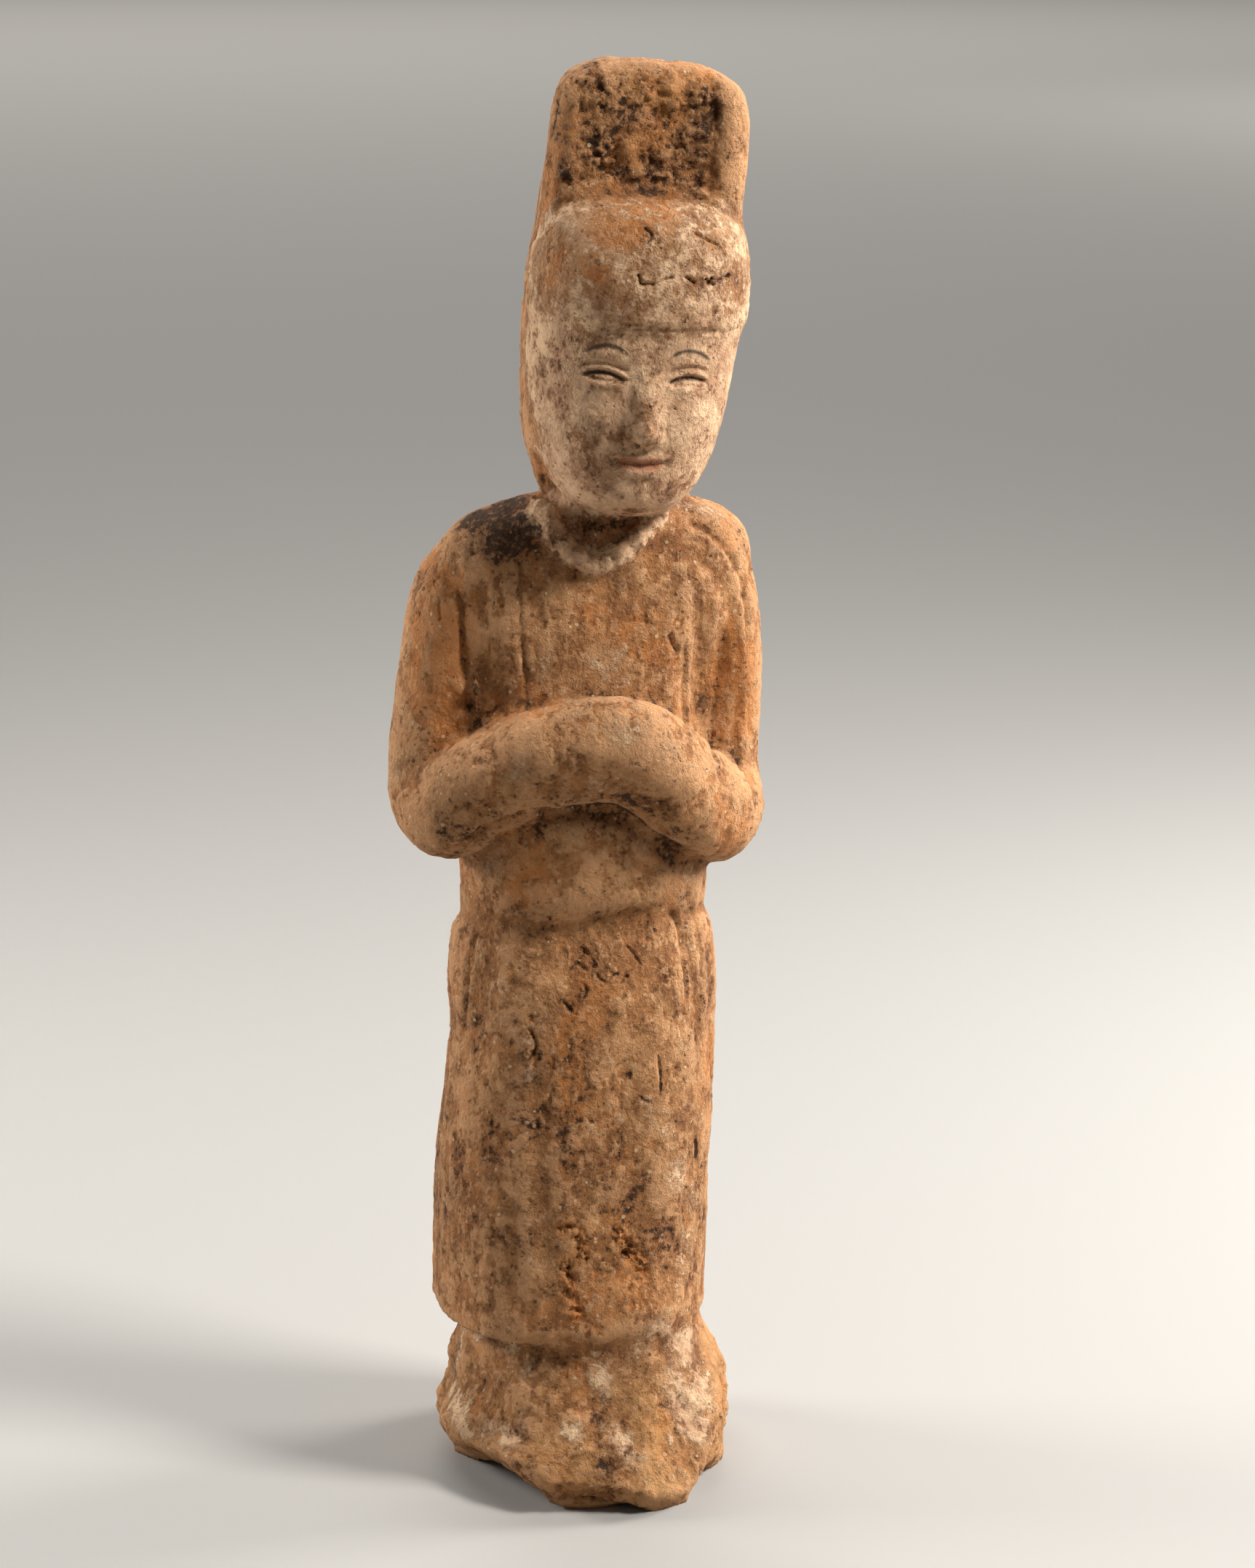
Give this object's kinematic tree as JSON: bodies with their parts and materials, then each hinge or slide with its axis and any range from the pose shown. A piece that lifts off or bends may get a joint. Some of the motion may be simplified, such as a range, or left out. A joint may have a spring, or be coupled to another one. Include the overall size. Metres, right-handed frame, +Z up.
{
  "type": "earthenware attendant figurine",
  "caption": "Mould-pressed earthenware tomb figurine of a standing attendant in a tall hat, hands joined inside long sleeves, robe flaring to a rough flat base.",
  "frame": {"origin": "on the ground under the figure's axis, where the flat underside stands", "axes": "+Z up through the figure, -Y the way it faces, +X its own left side"},
  "size_m": [0.0797, 0.0702, 0.3],
  "materials": {
    "earthenware": "matt unglazed low-fired clay, with worn white slip on the face and collar and soil in the hollows"
  },
  "bodies": {
    "root": {"figure": "earthenware"}
  },
  "joints": []
}
